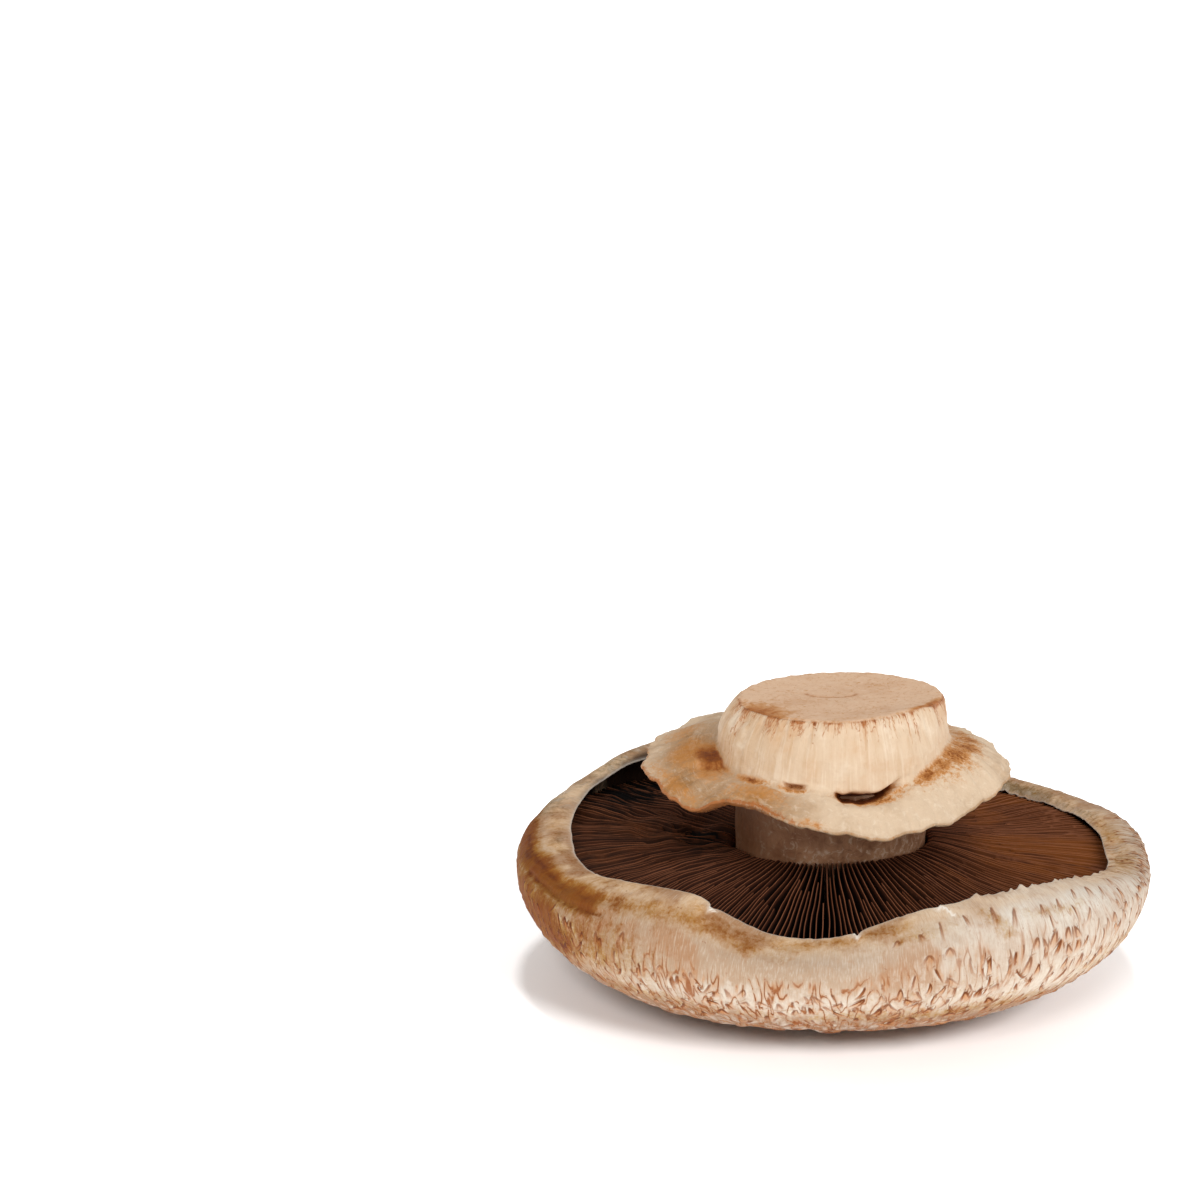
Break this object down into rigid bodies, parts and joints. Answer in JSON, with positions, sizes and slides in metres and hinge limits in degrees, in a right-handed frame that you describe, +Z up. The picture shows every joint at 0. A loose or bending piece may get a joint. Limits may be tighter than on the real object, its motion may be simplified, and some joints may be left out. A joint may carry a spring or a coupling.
{
  "type": "edible mushroom",
  "caption": "Mature open button mushroom lying on its scaly cap, gills up, with its ring and cut stem.",
  "frame": {"origin": "on the surface that the cap rests on, under the middle of the object's box", "axes": "+Z up along the stem towards its cut end; -Y towards the low dip in the cap's margin, the side that the picture shows; +X to that view's right"},
  "size_m": [0.1098, 0.1075, 0.051],
  "materials": {
    "cap": "matt cream mushroom skin with tan to brown scales",
    "gills": "matt dark chocolate-brown gills",
    "stem": "matt cream fibrous mushroom flesh"
  },
  "bodies": {
    "root": {"cap": "cap", "gills": "gills", "stem": "stem"}
  },
  "joints": []
}
